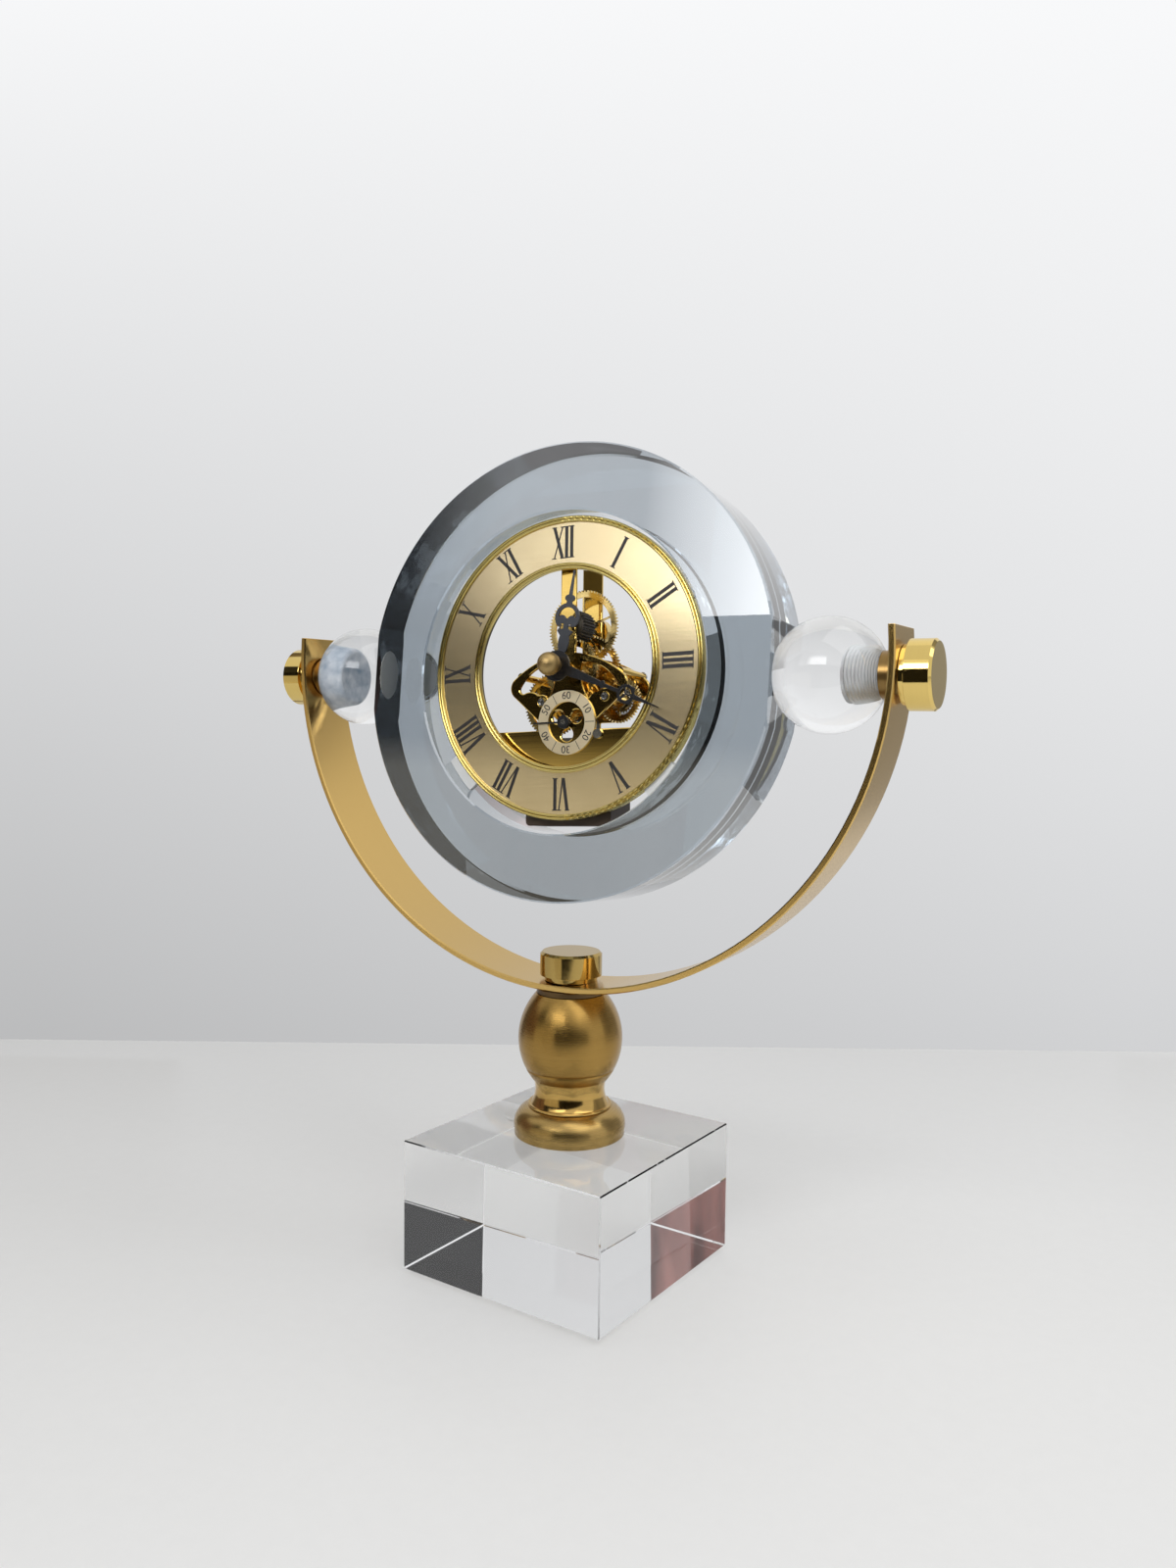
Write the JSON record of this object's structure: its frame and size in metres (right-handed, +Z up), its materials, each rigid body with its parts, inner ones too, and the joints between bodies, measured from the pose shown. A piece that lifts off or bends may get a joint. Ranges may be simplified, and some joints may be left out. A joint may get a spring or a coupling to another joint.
{
  "type": "mystery clock",
  "caption": "Skeleton table clock: open gear train in a smoked crystal ring that tilts on crystal balls in a brass bow, on a turned brass pedestal and a clear crystal block.",
  "frame": {"origin": "on the table under the middle of the base and the pedestal's axis", "axes": "+Z up, the dial faces -Y, +X is the clock's right side as its viewer sees it"},
  "size_m": [0.2418, 0.0874, 0.2789],
  "materials": {
    "crystal": "polished clear crystal",
    "smoked_crystal": "polished smoked crystal",
    "clear_pad": "clear soft rubber",
    "antique_brass": "antique, brushed around",
    "satin_brass": "satin",
    "polished_brass": "polished",
    "gilt_brass": "polished and gilt",
    "brushed_dial": "brushed champagne",
    "steel": "bright",
    "black_rubber": "matt",
    "black_hand": "satin black",
    "black_plastic": "moulded",
    "brown_plastic": "moulded",
    "cell_wrap": "plain wrap"
  },
  "bodies": {
    "stand": {"glass_base": "crystal", "foot_pads": "clear_pad", "pedestal_foot": "antique_brass", "pedestal_neck": "antique_brass", "pedestal_bulb": "antique_brass", "tie_rod": "steel", "seat_washer": "black_rubber", "bow": "satin_brass", "bow_nut": "polished_brass"},
    "head": {"left_ball": "crystal", "left_stud": "steel", "left_spacer": "antique_brass", "left_knob": "polished_brass", "right_ball": "crystal", "right_stud": "steel", "right_spacer": "antique_brass", "right_knob": "polished_brass", "crystal_ring": "smoked_crystal", "insert_pads": "clear_pad", "case_ring": "gilt_brass", "dial": "brushed_dial", "bezel": "gilt_brass", "dial_rim": "gilt_brass", "front_plate": "gilt_brass", "plate_bushes": "steel", "plate_screw": "steel", "seconds_dial": "brushed_dial", "rear_plate": "gilt_brass", "plate_posts": "gilt_brass", "rear_screws": "steel", "quartz_module": "black_plastic", "cell_box": "brown_plastic", "cell": "cell_wrap"},
    "center": {"center_arbor": "gilt_brass", "center_wheel": "gilt_brass", "minute_hand": "black_hand", "hand_cap": "antique_brass"},
    "hour": {"hour_wheel": "gilt_brass", "hour_hand": "black_hand"},
    "minute_work": {"minute_arbor": "gilt_brass", "minute_wheel": "gilt_brass", "drum_pinion": "black_plastic", "setting_knob": "black_plastic"},
    "third": {"third_arbor": "gilt_brass", "third_wheel": "gilt_brass"},
    "seconds": {"second_arbor": "gilt_brass", "second_hand": "black_hand"},
    "idler": {"idler_arbor": "gilt_brass", "idler_wheel": "gilt_brass"}
  },
  "joints": [
    {"name": "head_tilt", "type": "hinge", "parent": "stand", "child": "head", "pos_m": [0, 0, 0.2023], "axis": [1, 0, 0], "continuous": true},
    {"name": "minute_turn", "type": "hinge", "parent": "head", "child": "center", "pos_m": [0, 0.00019, 0.20419], "axis": [0, -0.9951, 0.0993], "continuous": true},
    {"name": "hour_turn", "type": "hinge", "parent": "head", "child": "hour", "pos_m": [0, 0.00019, 0.20419], "axis": [0, -0.9951, 0.0993], "continuous": true},
    {"name": "minute_work_turn", "type": "hinge", "parent": "head", "child": "minute_work", "pos_m": [-0.00082, 0.00169, 0.21921], "axis": [0, -0.9951, 0.0993], "continuous": true},
    {"name": "third_turn", "type": "hinge", "parent": "head", "child": "third", "pos_m": [-0.00926, -0.00093, 0.19299], "axis": [0, -0.9951, 0.0993], "continuous": true},
    {"name": "seconds_turn", "type": "hinge", "parent": "head", "child": "seconds", "pos_m": [0.00097, -0.0016, 0.18631], "axis": [0, -0.9951, 0.0993], "continuous": true},
    {"name": "idler_turn", "type": "hinge", "parent": "head", "child": "idler", "pos_m": [0.01467, -0.00072, 0.1951], "axis": [0, -0.9951, 0.0993], "continuous": true}
  ],
  "couplings": [
    {"joint": "hour_turn", "follows": "minute_turn", "ratio": 0.083333},
    {"joint": "minute_work_turn", "follows": "minute_turn", "ratio": -0.16667},
    {"joint": "third_turn", "follows": "minute_turn", "ratio": -8},
    {"joint": "seconds_turn", "follows": "minute_turn", "ratio": 60},
    {"joint": "idler_turn", "follows": "minute_turn", "ratio": -3}
  ]
}
